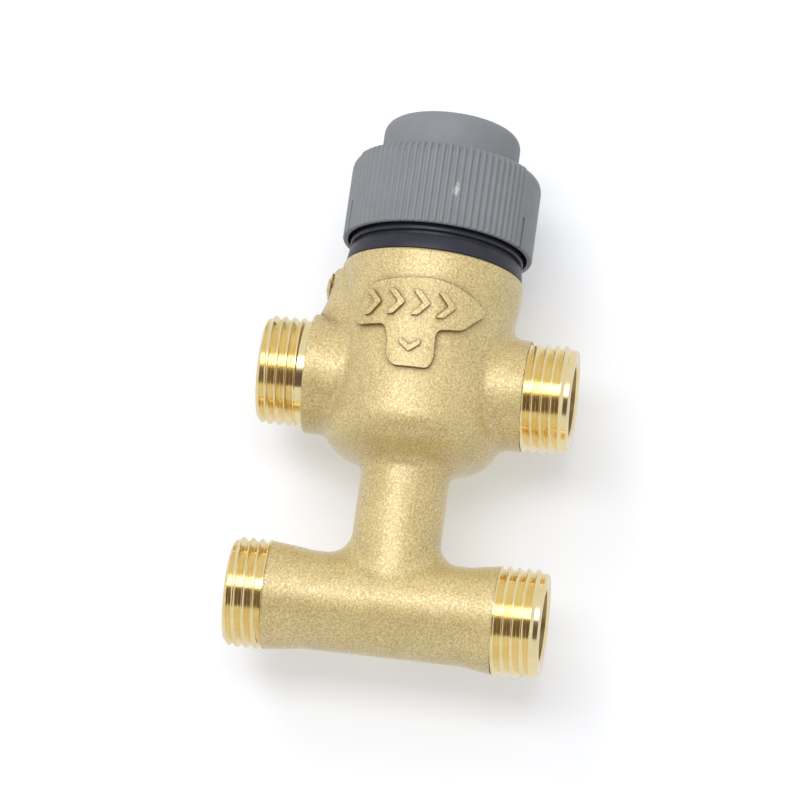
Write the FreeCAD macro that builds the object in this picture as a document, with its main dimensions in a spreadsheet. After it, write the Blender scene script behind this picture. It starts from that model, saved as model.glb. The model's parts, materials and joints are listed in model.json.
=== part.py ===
import FreeCAD, Part
import os
import re
import Sketcher

Vector = FreeCAD.Vector

# All sizes are in millimetres, angles in degrees. Heights count from the axis of the upper ports.
SIZES = {
    # Male pipe threads, shown as plain cylinders
    "thread_diameter": 20.955,
    "thread_length": 9.0,
    "thread_chamfer": 0.9,
    "pilot_diameter": 19.6,
    "pilot_length": 1.2,
    "pilot_cone": 0.7,
    "pilot_chamfer": 0.3,
    # Where the ports lie
    "port_reach": 30.0,
    "port_height": 44.3,
    "waterway_diameter": 14.0,
    "waterway_end": 16.6,
    # Outside of the casting
    "barrel_diameter": 34.0,
    "barrel_top": 22.2,
    "base_drop": 1.9,
    "base_round": 6.0,
    "rim_diameter": 35.0,
    "rim_height": 3.4,
    "rim_taper": 5.0,
    "rim_round": 0.8,
    "cone_drop": 3.6,
    "neck_diameter": 17.0,
    "neck_round": 3.0,
    "run_diameter": 18.8,
    "flare_diameter": 20.6,
    "flare_gap": 2.0,
    "run_round": 4.5,
    "left_boss_diameter": 23.0,
    "left_boss_root": 22.6,
    "left_band_length": 1.5,
    "left_band_diameter": 20.0,
    "right_boss_diameter": 21.4,
    "boss_round": 2.6,
    "boss_round_share": 0.65,
    "shoulder_offset": 10.4,
    "shoulder_top": 20.2,
    "shoulder_top_diameter": 17.2,
    "shoulder_foot": 8.0,
    "shoulder_foot_diameter": 19.6,
    "shoulder_waist_diameter": 18.3,
    "ramp_sink": 0.5,
    "ramp_inset": 0.2,
    "ramp_height": 3.8,
    # Inside of the casting
    "partition_top": 2.4,
    "partition_thickness": 3.0,
    "chamber_diameter": 24.0,
    "gallery_step": 0.5,
    "bypass_diameter": 9.5,
    "lip_width": 1.0,
    "lip_height": 1.6,
    "upper_passage_diameter": 7.6,
    "upper_passage_rise": 6.2,
    "lower_passage_diameter": 9.0,
    "lower_passage_fall": 6.0,
    "passage_overlap": 0.4,
    "passage_entry": 2.0,
    # Valve travel
    "stroke": 4.5,
    "seat_gap": 0.05,
    # Seat cage
    "seat_diameter": 11.0,
    "cage_lip": 1.0,
    "cage_wall": 1.9,
    "cage_flange": 1.2,
    "cage_ring": 2.0,
    "cage_clearance": 0.15,
    "window_width": 8.0,
    "window_sill": 0.4,
    # Bonnet
    "bonnet_depth": 12.2,
    "bonnet_thread_step": 1.0,
    "bonnet_thread_length": 8.2,
    "bonnet_spigot_step": 1.2,
    "bonnet_clearance": 0.06,
    "collar_grip": 3.4,
    "neck_thread_diameter": 30.0,
    "bonnet_end_gap": 0.3,
    "spring_well_diameter": 19.0,
    "spring_well_floor": 4.0,
    # Packing
    "packing_diameter": 8.7,
    "packing_clearance": 0.03,
    "bush_height": 2.4,
    "spacer_height": 1.2,
    "gland_length": 5.5,
    "gland_diameter": 13.0,
    "gland_slot": 1.6,
    "gland_slot_depth": 1.5,
    # Rubber rings
    "stem_ring_section": 1.76,
    "body_ring_section": 1.8,
    "cage_ring_section": 1.5,
    "groove_slack": 0.4,
    # Stem
    "stem_diameter": 5.0,
    "stem_clearance": 0.05,
    "stem_tip_reach": 1.1,
    "stem_lower_diameter": 4.0,
    "stem_step_drop": 1.0,
    "stem_end_diameter": 3.0,
    "stem_end_reach": 0.6,
    # Plug
    "plug_diameter": 14.8,
    "plug_thickness": 4.0,
    "plug_ring_inner": 8.8,
    "plug_ring_outer": 14.0,
    "plug_ring_depth": 1.2,
    "plug_ring_proud": 0.3,
    "plug_fit": 0.03,
    "plug_washer_diameter": 6.4,
    "plug_washer_thickness": 0.5,
    "plug_nut_width": 5.5,
    "plug_nut_height": 2.4,
    # Spring
    "spring_washer_thickness": 0.6,
    "spring_washer_inner": 7.0,
    "spring_washer_gap": 0.5,
    "spring_length": 9.4,
    "spring_diameter": 12.4,
    "spring_wire": 1.1,
    "spring_pitch": 2.9,
    "cup_gap": 1.3,
    "cup_thickness": 1.0,
    "clip_diameter": 9.0,
    "clip_thickness": 0.7,
    "clip_groove_diameter": 4.2,
    "clip_fit": 0.03,
    "clip_mouth": 3.4,
    # Collar: walls count from its bore
    "collar_clearance": 0.3,
    "collar_base_wall": 1.85,
    "collar_waist_wall": 1.4,
    "collar_cone_height": 3.0,
    "collar_groove_wall": 0.7,
    "collar_groove_height": 0.8,
    "collar_bead_wall": 1.5,
    "collar_bead_height": 0.9,
    "collar_top_wall": 1.1,
    "collar_height": 6.0,
    # Hand cap
    "foot_gap": 0.5,
    "skirt_clearance": 0.65,
    "skirt_wall": 0.95,
    "skirt_height": 16.4,
    "skirt_round": 2.8,
    "recess_gap": 0.7,
    "cap_thread_clearance": 0.06,
    "cap_wall": 2.0,
    "flute_count": 84,
    "flute_row": 29,
    "flute_diameter": 0.7,
    "flute_depth": 0.35,
    "crown_diameter": 26.6,
    "crown_height": 8.3,
    "crown_round": 2.6,
    "crown_wall": 2.0,
    "crown_foot_round": 0.8,
    "crown_foot_share": 0.8,
    "pusher_diameter": 8.0,
    "slit_width": 0.6,
    "slit_height": 6.0,
    "slit_angle": 65.0,
}

doc = FreeCAD.newDocument("bypass_valve")
sheet = doc.addObject("Spreadsheet::Sheet", "Sizes")
for row, (alias, number) in enumerate(SIZES.items(), start=1):
    sheet.set(f"A{row}", alias)
    sheet.set(f"B{row}", str(number))
    sheet.setAlias(f"B{row}", alias)
doc.recompute()


def named(text):
    """Return an expression with the sheet's name before each size in it."""
    return re.sub(r"[a-z_]+", lambda word: "Sizes." + word[0] if word[0] in SIZES else word[0], text)


def value(text):
    """Return what an expression of sizes comes to."""
    return float(sheet.evalExpression(named(text)))


def bind(item, **properties):
    """Tie properties of an object to expressions of sizes."""
    for prop, text in properties.items():
        item.setExpression(prop.replace("__", "."), named(text))


def lift(item):
    """Raise an object from the ports' axis to its height above the bypass run."""
    item.setExpression("Placement.Base.z", named("port_height"))


def new_body(label):
    """Start a body that stands on the ports' axis."""
    body = doc.addObject("PartDesign::Body", label)
    body.Label = label
    lift(body)
    return body


def attach(body, sketch, role):
    """Put a sketch on one of its body's origin planes."""
    plane = [item for item in body.Origin.OriginFeatures if item.Role == role][0]
    sketch.AttachmentSupport = [(plane, "")]
    sketch.MapMode = "FlatFace"


def outline(body, name, points, role="XZ_Plane"):
    """Draw a closed outline whose corners are pairs of expressions."""
    sketch = body.newObject("Sketcher::SketchObject", name)
    attach(body, sketch, role)
    corners = [Vector(value(across), value(up), 0) for across, up in points]
    last = len(corners)
    for index, corner in enumerate(corners):
        sketch.addGeometry(Part.LineSegment(corner, corners[(index + 1) % last]), False)
    for index in range(last):
        sketch.addConstraint(Sketcher.Constraint("Coincident", index, 2, (index + 1) % last, 1))
    for index, pair in enumerate(points):
        for kind, number, text in zip(("DistanceX", "DistanceY"), corners[index], pair):
            tie = sketch.addConstraint(Sketcher.Constraint(kind, -1, 1, index, 1, number))
            sketch.setExpression(f"Constraints[{tie}]", named(text))
    return sketch


def turn(body, name, points, axis="V_Axis", cut=False, **offset):
    """Turn an outline about an axis of its sketch, to add or to cut."""
    sketch = outline(body, name + "_outline", points)
    bind(sketch, **offset)
    kind = "PartDesign::Groove" if cut else "PartDesign::Revolution"
    feature = body.newObject(kind, name)
    feature.Profile = sketch
    feature.ReferenceAxis = (sketch, [axis])
    feature.Angle = 360
    doc.recompute()
    return feature


def circle_edges(shape, rings):
    """Name the edges that are circles about the Z axis with these radii and heights."""
    wanted = [(value(radius), value(height)) for radius, height in rings]
    names = []
    for index, edge in enumerate(shape.Edges, start=1):
        curve = edge.Curve
        if not isinstance(curve, Part.Circle) or abs(curve.Center.x) > 1e-6:
            continue
        if any(abs(curve.Radius - wide) + abs(curve.Center.z - high) < 1e-3 for wide, high in wanted):
            names.append(f"Edge{index}")
    return names


def soften(body, name, radius, edges):
    """Round the named edges of the body's last feature."""
    fillet = body.newObject("PartDesign::Fillet", name)
    fillet.Base = (fillet.BaseFeature, edges)
    bind(fillet, Radius=radius)
    doc.recompute()
    return fillet


def soften_rings(body, name, radius, *rings):
    """Round edges that are circles about the Z axis."""
    return soften(body, name, radius, circle_edges(body.Tip.Shape, rings))


def axis_of(face):
    """Return the direction a round face is turned about, or none for any other face."""
    return getattr(face.Surface, "Axis", None) if not isinstance(face.Surface, Part.Plane) else None


def saddle_edges(shape, diameter):
    """Name the edges where an upright cylinder of this diameter meets a part turned about X."""
    names = []
    for index, edge in enumerate(shape.Edges, start=1):
        faces = shape.ancestorsOfType(edge, Part.Face)
        axes = [axis_of(face) for face in faces]
        if len(faces) != 2 or None in axes:
            continue
        upright = [face for face, axis in zip(faces, axes) if abs(axis.z) > 0.9]
        level = [face for face, axis in zip(faces, axes) if abs(axis.x) > 0.9]
        if upright and level and isinstance(upright[0].Surface, Part.Cylinder):
            if abs(upright[0].Surface.Radius - value(diameter) / 2) < 1e-3:
                names.append(f"Edge{index}")
    return names


def plain_body(label, points):
    """Make a body that is one outline turned about Z."""
    body = new_body(label)
    turn(body, label + "_turned", points)
    return body


def cut_box(body, name, long, wide, tall, across, along, height):
    """Cut a box out of a body, placed by its lowest corner."""
    box = body.newObject("PartDesign::SubtractiveBox", name)
    bind(box, Length=long, Width=wide, Height=tall)
    bind(box, Placement__Base__x=across, Placement__Base__y=along, Placement__Base__z=height)
    doc.recompute()
    return box


def cut_passage(body, name, diameter, start, end, height, rise):
    """Drill a slanting passage that climbs from one place along X to another."""
    drill = body.newObject("PartDesign::SubtractiveCylinder", name)
    drill.Placement = FreeCAD.Placement(Vector(), FreeCAD.Rotation(Vector(0, 1, 0), 45))
    bind(drill, Radius=f"{diameter} / 2", Height=f"sqrt(({end} - {start})^2 + ({rise})^2)")
    bind(drill, Placement__Base__x=start, Placement__Base__z=height)
    bind(drill, Placement__Rotation__Angle=f"atan(({end} - {start}) / ({rise}))")
    doc.recompute()
    return drill


def washer(label, inner, outer, foot, top):
    """Make a flat ring about Z."""
    return plain_body(label, [(inner, foot), (outer, foot), (outer, top), (inner, top)])


def rubber_ring(label, radius, section, height):
    """Make a ring of round section about Z."""
    item = doc.addObject("Part::Torus", label)
    item.Label = label
    bind(item, Radius1=radius, Radius2=f"({section}) / 2")
    bind(item, Placement__Base__z=f"port_height + {height}")
    return item


# Heights and radii that several pieces share
PARTITION_FOOT = "(partition_top - partition_thickness)"
SEAT = f"({PARTITION_FOOT} - cage_lip)"
PLUG_TOP = f"({SEAT} - seat_gap - plug_ring_proud)"
PLUG_FOOT = f"({PLUG_TOP} - plug_thickness)"
LOWER_SEAT = f"({PLUG_FOOT} - plug_ring_proud - stroke - seat_gap)"
CHAMBER_FLOOR = f"({LOWER_SEAT} - lip_height)"
BONNET_FOOT = "(barrel_top - bonnet_depth)"
BONNET_STEP = "(barrel_top - bonnet_thread_length)"
COLLAR_LEDGE = "(barrel_top + collar_grip)"
WELL_FLOOR = "(barrel_top + spring_well_floor)"
GLAND_FOOT = f"({WELL_FLOOR} - gland_length)"
SPACER_TOP = f"({GLAND_FOOT} - stem_ring_section)"
SPACER_FOOT = f"({SPACER_TOP} - spacer_height)"
BUSH_TOP = f"({SPACER_FOOT} - stem_ring_section)"
BUSH_FOOT = f"({BUSH_TOP} - bush_height)"
SPRING_FOOT = f"({WELL_FLOOR} + spring_washer_thickness)"
CUP_FOOT = f"({SPRING_FOOT} + spring_length)"
CUP_TOP = f"({CUP_FOOT} + cup_thickness)"
STEM_TIP = f"({CUP_TOP} + clip_thickness + stem_tip_reach)"
SKIRT_FOOT = "(barrel_top + stroke + foot_gap)"
SKIRT_TOP = f"({SKIRT_FOOT} + skirt_height)"
CROWN_TOP = f"({SKIRT_TOP} + crown_height)"
RECESS_TOP = "(barrel_top + collar_height + stroke + recess_gap)"
BONNET_TOP = f"({SKIRT_TOP} - cap_wall - stroke - bonnet_end_gap)"
BONNET_THREAD = "(neck_thread_diameter / 2 - bonnet_thread_step)"
BONNET_SPIGOT = f"({BONNET_THREAD} - bonnet_spigot_step)"
GALLERY = f"({BONNET_SPIGOT} - gallery_step)"
SPIGOT = "(seat_diameter / 2 + cage_wall + cage_lip)"
SPIGOT_HOLE = f"({SPIGOT} + cage_clearance)"
CAGE_RING = f"({SPIGOT_HOLE} - packing_clearance - cage_ring_section / 2)"
CAGE_RING_HEIGHT = f"({PARTITION_FOOT} + partition_thickness / 2)"
BONNET_RING = f"({BONNET_SPIGOT} + bonnet_clearance - packing_clearance - body_ring_section / 2)"
BONNET_RING_HEIGHT = f"(({BONNET_FOOT} + {BONNET_STEP}) / 2)"
CAGE_GROOVE = "(cage_ring_section + groove_slack) / 2"
BONNET_GROOVE = "(body_ring_section + groove_slack) / 2"
STEM_HOLE = "(stem_diameter / 2 + stem_clearance)"
STEM_RING = "(packing_diameter / 2 - packing_clearance - stem_ring_section / 2)"
PLUG_HOLE = "(stem_end_diameter / 2 + plug_fit)"
THREAD = "thread_diameter / 2"
BARREL_BASE = "(left_boss_diameter / 2 + base_drop)"
FLARE_START = "(neck_diameter / 2 + run_round + flare_gap)"
COLLAR_BORE = "(neck_thread_diameter / 2 + collar_clearance)"
GROOVE_FOOT = "(barrel_top + collar_cone_height)"
BEAD_FOOT = f"({GROOVE_FOOT} + collar_groove_height)"
BEAD_TOP = f"({BEAD_FOOT} + collar_bead_height)"
SKIRT_INNER = f"({COLLAR_BORE} + collar_bead_wall + skirt_clearance)"
SKIRT_OUTER = f"({SKIRT_INNER} + skirt_wall)"
CROWN_LEDGE = f"({SKIRT_OUTER} - skirt_round - crown_diameter / 2)"

# Valve body, outside: barrel and neck, then the lower run, the two ports and the shoulder
valve = new_body("valve_body")
turn(valve, "barrel", [
    ("0", "-port_height"),
    ("neck_diameter / 2", "-port_height"),
    ("neck_diameter / 2", f"-{BARREL_BASE} - cone_drop"),
    ("barrel_diameter / 2", f"-{BARREL_BASE}"),
    ("barrel_diameter / 2", "barrel_top - rim_height - rim_taper"),
    ("rim_diameter / 2", "barrel_top - rim_height"),
    ("rim_diameter / 2", "barrel_top"),
    ("0", "barrel_top"),
])
soften_rings(valve, "neck_fillet", "neck_round", ("neck_diameter / 2", f"-{BARREL_BASE} - cone_drop"))
soften_rings(valve, "base_fillet", "base_round", ("barrel_diameter / 2", f"-{BARREL_BASE}"))
soften_rings(valve, "rim_fillet", "rim_round", ("rim_diameter / 2", "barrel_top"))
turn(valve, "bypass_run", [
    ("-port_reach", "0"),
    ("-port_reach", f"{THREAD} - thread_chamfer"),
    ("-port_reach + thread_chamfer", THREAD),
    ("-port_reach + thread_length", THREAD),
    ("-port_reach + thread_length", "flare_diameter / 2"),
    (f"-{FLARE_START}", "run_diameter / 2"),
    (FLARE_START, "run_diameter / 2"),
    ("port_reach - thread_length", "flare_diameter / 2"),
    ("port_reach - thread_length", THREAD),
    ("port_reach - pilot_length - pilot_cone", THREAD),
    ("port_reach - pilot_length", "pilot_diameter / 2"),
    ("port_reach - pilot_chamfer", "pilot_diameter / 2"),
    ("port_reach", "pilot_diameter / 2 - pilot_chamfer"),
    ("port_reach", "0"),
], axis="H_Axis", AttachmentOffset__Base__y="-port_height")
soften(valve, "run_fillet", "run_round", saddle_edges(valve.Tip.Shape, "neck_diameter"))
turn(valve, "left_port", [
    ("-port_reach", "0"),
    ("-port_reach", f"{THREAD} - thread_chamfer"),
    ("-port_reach + thread_chamfer", THREAD),
    ("-port_reach + thread_length - left_band_length", THREAD),
    ("-port_reach + thread_length - left_band_length", "left_band_diameter / 2"),
    ("-port_reach + thread_length", "left_band_diameter / 2"),
    ("-port_reach + thread_length", "left_boss_diameter / 2"),
    ("-shoulder_offset", "left_boss_root / 2"),
    ("0", "left_boss_root / 2"),
    ("0", "0"),
], axis="H_Axis")
turn(valve, "right_port", [
    ("0", "0"),
    ("0", "right_boss_diameter / 2"),
    ("port_reach - thread_length", "right_boss_diameter / 2"),
    ("port_reach - thread_length", THREAD),
    ("port_reach - pilot_length - pilot_cone", THREAD),
    ("port_reach - pilot_length", "pilot_diameter / 2"),
    ("port_reach - pilot_chamfer", "pilot_diameter / 2"),
    ("port_reach", "pilot_diameter / 2 - pilot_chamfer"),
    ("port_reach", "0"),
], axis="H_Axis")
BOSS_ROUND = "min(boss_round; (port_reach - thread_length - barrel_diameter / 2) * boss_round_share)"
soften(valve, "boss_fillet", BOSS_ROUND, saddle_edges(valve.Tip.Shape, "barrel_diameter"))
RAMP_FOOT = "(left_boss_diameter / 2 - ramp_sink)"
turn(valve, "shoulder", [
    ("0", "0"),
    ("shoulder_foot_diameter / 2", "0"),
    ("shoulder_foot_diameter / 2", "shoulder_foot"),
    ("port_reach - thread_length - shoulder_offset - ramp_inset", RAMP_FOOT),
    ("shoulder_waist_diameter / 2", f"{RAMP_FOOT} + ramp_height"),
    ("shoulder_top_diameter / 2", "shoulder_top"),
    ("0", "shoulder_top"),
], AttachmentOffset__Base__x="-shoulder_offset")

# Valve body, inside: chambers and seats about the stem, waterways and the two slanting passages
turn(valve, "chambers", [
    ("0", "-port_height"),
    ("bypass_diameter / 2", "-port_height"),
    ("bypass_diameter / 2", LOWER_SEAT),
    ("bypass_diameter / 2 + lip_width", LOWER_SEAT),
    ("bypass_diameter / 2 + lip_width", CHAMBER_FLOOR),
    ("chamber_diameter / 2", CHAMBER_FLOOR),
    ("chamber_diameter / 2", PARTITION_FOOT),
    (SPIGOT_HOLE, PARTITION_FOOT),
    (SPIGOT_HOLE, "partition_top"),
    (GALLERY, "partition_top"),
    (GALLERY, BONNET_FOOT),
    (f"{BONNET_SPIGOT} + bonnet_clearance", BONNET_FOOT),
    (f"{BONNET_SPIGOT} + bonnet_clearance", BONNET_STEP),
    (f"{BONNET_THREAD} + bonnet_clearance", BONNET_STEP),
    (f"{BONNET_THREAD} + bonnet_clearance", "barrel_top"),
    ("0", "barrel_top"),
], cut=True)
turn(valve, "run_waterway", [
    ("-port_reach", "0"),
    ("-port_reach", "waterway_diameter / 2"),
    ("port_reach", "waterway_diameter / 2"),
    ("port_reach", "0"),
], axis="H_Axis", cut=True, AttachmentOffset__Base__y="-port_height")
turn(valve, "left_waterway", [
    ("-port_reach", "0"),
    ("-port_reach", "waterway_diameter / 2"),
    ("-waterway_end", "waterway_diameter / 2"),
    ("-waterway_end", "0"),
], axis="H_Axis", cut=True)
turn(valve, "right_waterway", [
    ("waterway_end", "0"),
    ("waterway_end", "waterway_diameter / 2"),
    ("port_reach", "waterway_diameter / 2"),
    ("port_reach", "0"),
], axis="H_Axis", cut=True)
PASSAGE_MOUTH = "(waterway_end + passage_overlap)"
cut_passage(valve, "upper_passage", "upper_passage_diameter", f"(-{PASSAGE_MOUTH})",
            f"(passage_entry - {GALLERY})", "0", "upper_passage_rise")
cut_passage(valve, "lower_passage", "lower_passage_diameter", "(chamber_diameter / 2 - passage_entry)",
            PASSAGE_MOUTH, "-lower_passage_fall", "lower_passage_fall")

# Seat cage: the lip under the partition is the upper seat, and four windows let the water in
cage = plain_body("seat_cage", [
    ("seat_diameter / 2", SEAT),
    ("seat_diameter / 2 + cage_lip", SEAT),
    ("seat_diameter / 2 + cage_lip", PARTITION_FOOT),
    (SPIGOT, PARTITION_FOOT),
    (SPIGOT, f"{CAGE_RING_HEIGHT} - {CAGE_GROOVE}"),
    (f"{CAGE_RING} - cage_ring_section / 2", f"{CAGE_RING_HEIGHT} - {CAGE_GROOVE}"),
    (f"{CAGE_RING} - cage_ring_section / 2", f"{CAGE_RING_HEIGHT} + {CAGE_GROOVE}"),
    (SPIGOT, f"{CAGE_RING_HEIGHT} + {CAGE_GROOVE}"),
    (SPIGOT, "partition_top"),
    (f"{SPIGOT} + cage_flange", "partition_top"),
    (f"{SPIGOT} + cage_flange", f"{BONNET_FOOT} - cage_ring"),
    (f"{GALLERY} - cage_clearance", f"{BONNET_FOOT} - cage_ring"),
    (f"{GALLERY} - cage_clearance", BONNET_FOOT),
    (f"{SPIGOT} + cage_flange - cage_wall", BONNET_FOOT),
    (f"{SPIGOT} + cage_flange - cage_wall", "partition_top + cage_flange"),
    ("seat_diameter / 2", "partition_top + cage_flange"),
])
WINDOW_TALL = f"{BONNET_FOOT} - cage_ring - partition_top - cage_flange - 2 * window_sill"
WINDOW_FOOT = "partition_top + cage_flange + window_sill"
cut_box(cage, "side_windows", f"2 * {GALLERY}", "window_width", WINDOW_TALL,
        f"-{GALLERY}", "-window_width / 2", WINDOW_FOOT)
cut_box(cage, "front_windows", "window_width", f"2 * {GALLERY}", WINDOW_TALL,
        "-window_width / 2", f"-{GALLERY}", WINDOW_FOOT)
rubber_ring("cage_seal", CAGE_RING, "cage_ring_section", CAGE_RING_HEIGHT)

# Bonnet with its packing
plain_body("bonnet", [
    (STEM_HOLE, BONNET_FOOT),
    (BONNET_SPIGOT, BONNET_FOOT),
    (BONNET_SPIGOT, f"{BONNET_RING_HEIGHT} - {BONNET_GROOVE}"),
    (f"{BONNET_RING} - body_ring_section / 2", f"{BONNET_RING_HEIGHT} - {BONNET_GROOVE}"),
    (f"{BONNET_RING} - body_ring_section / 2", f"{BONNET_RING_HEIGHT} + {BONNET_GROOVE}"),
    (BONNET_SPIGOT, f"{BONNET_RING_HEIGHT} + {BONNET_GROOVE}"),
    (BONNET_SPIGOT, BONNET_STEP),
    (BONNET_THREAD, BONNET_STEP),
    (BONNET_THREAD, COLLAR_LEDGE),
    ("neck_thread_diameter / 2", COLLAR_LEDGE),
    ("neck_thread_diameter / 2", BONNET_TOP),
    ("spring_well_diameter / 2", BONNET_TOP),
    ("spring_well_diameter / 2", WELL_FLOOR),
    ("gland_diameter / 2", WELL_FLOOR),
    ("gland_diameter / 2", GLAND_FOOT),
    ("packing_diameter / 2", GLAND_FOOT),
    ("packing_diameter / 2", BUSH_FOOT),
    (STEM_HOLE, BUSH_FOOT),
])
rubber_ring("bonnet_seal", BONNET_RING, "body_ring_section", BONNET_RING_HEIGHT)
gland = washer("gland_nut", STEM_HOLE, "gland_diameter / 2 - bonnet_clearance", GLAND_FOOT, WELL_FLOOR)
cut_box(gland, "driver_slot", "gland_diameter", "gland_slot", "gland_slot_depth",
        "-gland_diameter / 2", "-gland_slot / 2", f"{WELL_FLOOR} - gland_slot_depth")
rubber_ring("upper_stem_seal", STEM_RING, "stem_ring_section", f"{SPACER_TOP} + stem_ring_section / 2")
washer("packing_spacer", STEM_HOLE, "packing_diameter / 2 - packing_clearance", SPACER_FOOT, SPACER_TOP)
rubber_ring("lower_stem_seal", STEM_RING, "stem_ring_section", f"{BUSH_TOP} + stem_ring_section / 2")
washer("guide_bush", STEM_HOLE, "packing_diameter / 2 - packing_clearance", BUSH_FOOT, BUSH_TOP)

# Collar under the cap
plain_body("neck_collar", [
    (f"{BONNET_THREAD} + collar_clearance", "barrel_top"),
    (f"{COLLAR_BORE} + collar_base_wall", "barrel_top"),
    (f"{COLLAR_BORE} + collar_waist_wall", GROOVE_FOOT),
    (f"{COLLAR_BORE} + collar_groove_wall", GROOVE_FOOT),
    (f"{COLLAR_BORE} + collar_groove_wall", BEAD_FOOT),
    (f"{COLLAR_BORE} + collar_bead_wall", BEAD_FOOT),
    (f"{COLLAR_BORE} + collar_bead_wall", BEAD_TOP),
    (f"{COLLAR_BORE} + collar_top_wall", BEAD_TOP),
    (f"{COLLAR_BORE} + collar_top_wall", "barrel_top + collar_height"),
    (COLLAR_BORE, "barrel_top + collar_height"),
    (COLLAR_BORE, COLLAR_LEDGE),
    (f"{BONNET_THREAD} + collar_clearance", COLLAR_LEDGE),
])

# Stem, spring and plug
plain_body("stem", [
    ("0", f"{PLUG_FOOT} - plug_washer_thickness - plug_nut_height - stem_end_reach"),
    ("stem_end_diameter / 2", f"{PLUG_FOOT} - plug_washer_thickness - plug_nut_height - stem_end_reach"),
    ("stem_end_diameter / 2", PLUG_TOP),
    ("stem_lower_diameter / 2", PLUG_TOP),
    ("stem_lower_diameter / 2", f"{BONNET_FOOT} - stem_step_drop"),
    ("stem_diameter / 2", f"{BONNET_FOOT} - stem_step_drop"),
    ("stem_diameter / 2", CUP_TOP),
    ("clip_groove_diameter / 2", CUP_TOP),
    ("clip_groove_diameter / 2", f"{CUP_TOP} + clip_thickness"),
    ("stem_diameter / 2", f"{CUP_TOP} + clip_thickness"),
    ("stem_diameter / 2", STEM_TIP),
    ("0", STEM_TIP),
])
washer("spring_washer", "spring_washer_inner / 2", "spring_well_diameter / 2 - spring_washer_gap",
       WELL_FLOOR, SPRING_FOOT)
washer("spring_cup", STEM_HOLE, "spring_well_diameter / 2 - cup_gap", CUP_FOOT, CUP_TOP)
clip = washer("retaining_clip", "clip_groove_diameter / 2 + clip_fit", "clip_diameter / 2",
              CUP_TOP, f"{CUP_TOP} + clip_thickness")
cut_box(clip, "clip_opening", "clip_diameter", "clip_mouth", "clip_thickness",
        "0", "-clip_mouth / 2", CUP_TOP)

coil = doc.addObject("Part::Helix", "spring_path")
bind(coil, Pitch="spring_pitch", Height="spring_length - spring_wire", Radius="spring_diameter / 2")
bind(coil, Placement__Base__z=f"port_height + {SPRING_FOOT} + spring_wire / 2")
wire = doc.addObject("Part::Circle", "spring_wire_section")
wire.Placement = FreeCAD.Placement(Vector(), FreeCAD.Rotation(Vector(1, 0, 0), 90))
bind(wire, Radius="spring_wire / 2", Placement__Base__x="spring_diameter / 2")
bind(wire, Placement__Base__z=f"port_height + {SPRING_FOOT} + spring_wire / 2")
doc.recompute()
spring = doc.addObject("Part::Sweep", "return_spring")
spring.Label = "return_spring"
spring.Sections = [wire]
spring.Spine = (coil, ["Edge1"])
spring.Solid = True
spring.Frenet = True

plain_body("plug", [
    (PLUG_HOLE, PLUG_FOOT),
    ("plug_ring_inner / 2", PLUG_FOOT),
    ("plug_ring_inner / 2", f"{PLUG_FOOT} + plug_ring_depth"),
    ("plug_ring_outer / 2", f"{PLUG_FOOT} + plug_ring_depth"),
    ("plug_ring_outer / 2", PLUG_FOOT),
    ("plug_diameter / 2", PLUG_FOOT),
    ("plug_diameter / 2", PLUG_TOP),
    ("plug_ring_outer / 2", PLUG_TOP),
    ("plug_ring_outer / 2", f"{PLUG_TOP} - plug_ring_depth"),
    ("plug_ring_inner / 2", f"{PLUG_TOP} - plug_ring_depth"),
    ("plug_ring_inner / 2", PLUG_TOP),
    (PLUG_HOLE, PLUG_TOP),
])
washer("plug_upper_seal", "plug_ring_inner / 2 + plug_fit", "plug_ring_outer / 2 - plug_fit",
       f"{PLUG_TOP} - plug_ring_depth", f"{PLUG_TOP} + plug_ring_proud")
washer("plug_lower_seal", "plug_ring_inner / 2 + plug_fit", "plug_ring_outer / 2 - plug_fit",
       f"{PLUG_FOOT} - plug_ring_proud", f"{PLUG_FOOT} + plug_ring_depth")
washer("plug_washer", PLUG_HOLE, "plug_washer_diameter / 2",
       f"{PLUG_FOOT} - plug_washer_thickness", PLUG_FOOT)
NUT_FOOT = f"({PLUG_FOOT} - plug_washer_thickness - plug_nut_height)"
blank = doc.addObject("Part::Prism", "nut_blank")
blank.Polygon = 6
bind(blank, Circumradius="plug_nut_width / sqrt(3)", Height="plug_nut_height")
bind(blank, Placement__Base__z=f"port_height + {NUT_FOOT}")
hole = doc.addObject("Part::Cylinder", "nut_hole")
bind(hole, Radius=PLUG_HOLE, Height="plug_nut_height", Placement__Base__z=f"port_height + {NUT_FOOT}")
nut = doc.addObject("Part::Cut", "plug_nut")
nut.Base = blank
nut.Tool = hole
nut.Label = "plug_nut"

# Hand cap: skirt, crown and the pusher that stands on the stem
cap = plain_body("hand_cap", [
    ("0", STEM_TIP),
    ("pusher_diameter / 2", STEM_TIP),
    ("pusher_diameter / 2", f"{CROWN_TOP} - crown_wall"),
    ("crown_diameter / 2 - crown_wall", f"{CROWN_TOP} - crown_wall"),
    ("crown_diameter / 2 - crown_wall", f"{SKIRT_TOP} - cap_wall"),
    ("neck_thread_diameter / 2 + cap_thread_clearance", f"{SKIRT_TOP} - cap_wall"),
    ("neck_thread_diameter / 2 + cap_thread_clearance", RECESS_TOP),
    (SKIRT_INNER, RECESS_TOP),
    (SKIRT_INNER, SKIRT_FOOT),
    (SKIRT_OUTER, SKIRT_FOOT),
    (SKIRT_OUTER, SKIRT_TOP),
    ("crown_diameter / 2", SKIRT_TOP),
    ("crown_diameter / 2", CROWN_TOP),
    ("0", CROWN_TOP),
])
soften_rings(cap, "skirt_fillet", "skirt_round", (SKIRT_OUTER, SKIRT_TOP))
soften_rings(cap, "crown_fillet", "crown_round", ("crown_diameter / 2", CROWN_TOP))
CROWN_FOOT_ROUND = f"min(crown_foot_round; {CROWN_LEDGE} * crown_foot_share)"
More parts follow.
